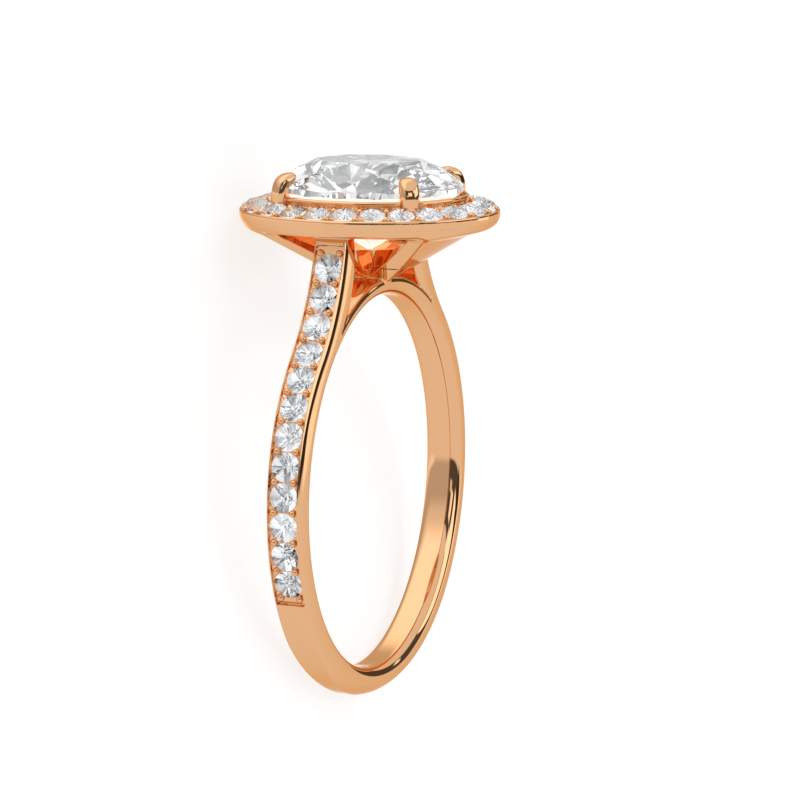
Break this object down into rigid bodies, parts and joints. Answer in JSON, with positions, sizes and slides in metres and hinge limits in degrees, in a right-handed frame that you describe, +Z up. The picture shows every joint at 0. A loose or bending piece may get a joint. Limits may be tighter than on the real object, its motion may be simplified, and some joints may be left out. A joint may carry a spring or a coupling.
{
  "type": "diamond halo ring",
  "caption": "Rose gold finger ring: oval brilliant in four prongs, halo of small round stones and a cathedral band with a channel of stones on each limb.",
  "frame": {"origin": "centre of the bounding box at the surface the ring rests on, with the ring lying on its side", "axes": "+Z up, -Y towards the head, X across the ring; the finger hole's axis leans 13.5 degrees from +Z towards +Y"},
  "size_m": [0.0196, 0.0244, 0.0117],
  "materials": {
    "gold": "polished rose gold",
    "diamond": "clear, cut and polished"
  },
  "bodies": {
    "root": {"ring_metal": "gold", "center_stone": "diamond", "halo_stones": "diamond", "limb_stone_near_1": "diamond", "limb_stone_near_2": "diamond", "limb_stone_near_3": "diamond", "limb_stone_near_4": "diamond", "limb_stone_near_5": "diamond", "limb_stone_near_6": "diamond", "limb_stone_near_7": "diamond", "limb_stone_near_8": "diamond", "limb_stone_near_9": "diamond", "limb_stone_near_10": "diamond", "limb_stone_near_11": "diamond", "limb_stone_near_12": "diamond", "limb_stone_far_1": "diamond", "limb_stone_far_2": "diamond", "limb_stone_far_3": "diamond", "limb_stone_far_4": "diamond", "limb_stone_far_5": "diamond", "limb_stone_far_6": "diamond", "limb_stone_far_7": "diamond", "limb_stone_far_8": "diamond", "limb_stone_far_9": "diamond", "limb_stone_far_10": "diamond", "limb_stone_far_11": "diamond", "limb_stone_far_12": "diamond"}
  },
  "joints": []
}
